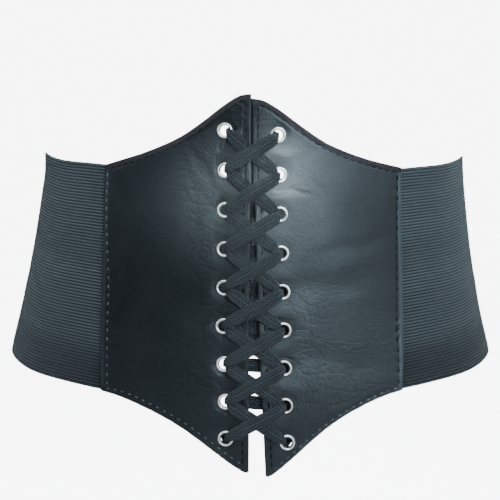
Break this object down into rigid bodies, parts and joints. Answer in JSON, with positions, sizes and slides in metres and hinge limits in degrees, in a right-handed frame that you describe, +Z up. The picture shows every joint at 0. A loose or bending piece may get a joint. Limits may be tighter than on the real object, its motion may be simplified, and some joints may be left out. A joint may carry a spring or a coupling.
{
  "type": "lace-up corset belt",
  "caption": "Worn corset belt: two pointed faux leather front panels laced together through eyelets, with ribbed elastic sides joined at the back.",
  "frame": {"origin": "middle of the waist inside the belt, half-way up the elastic in front", "axes": "+Z up the wearer's body, -Y out of the centre front, +X to the right of the laced front as it is seen"},
  "size_m": [0.3196, 0.239, 0.2181],
  "materials": {
    "leather": "semi-gloss black faux leather",
    "elastic": "ribbed black elastic webbing",
    "webbing": "black flat braid",
    "nickel": "bright nickel plate"
  },
  "bodies": {
    "root": {"left_panel": "leather", "right_panel": "leather", "left_elastic_band": "elastic", "right_elastic_band": "elastic", "back_strip": "leather", "lace": "webbing", "left_eyelet_1": "nickel", "left_eyelet_2": "nickel", "left_eyelet_3": "nickel", "left_eyelet_4": "nickel", "left_eyelet_5": "nickel", "left_eyelet_6": "nickel", "left_eyelet_7": "nickel", "left_eyelet_8": "nickel", "left_eyelet_9": "nickel", "right_eyelet_1": "nickel", "right_eyelet_2": "nickel", "right_eyelet_3": "nickel", "right_eyelet_4": "nickel", "right_eyelet_5": "nickel", "right_eyelet_6": "nickel", "right_eyelet_7": "nickel", "right_eyelet_8": "nickel", "right_eyelet_9": "nickel"}
  },
  "joints": []
}
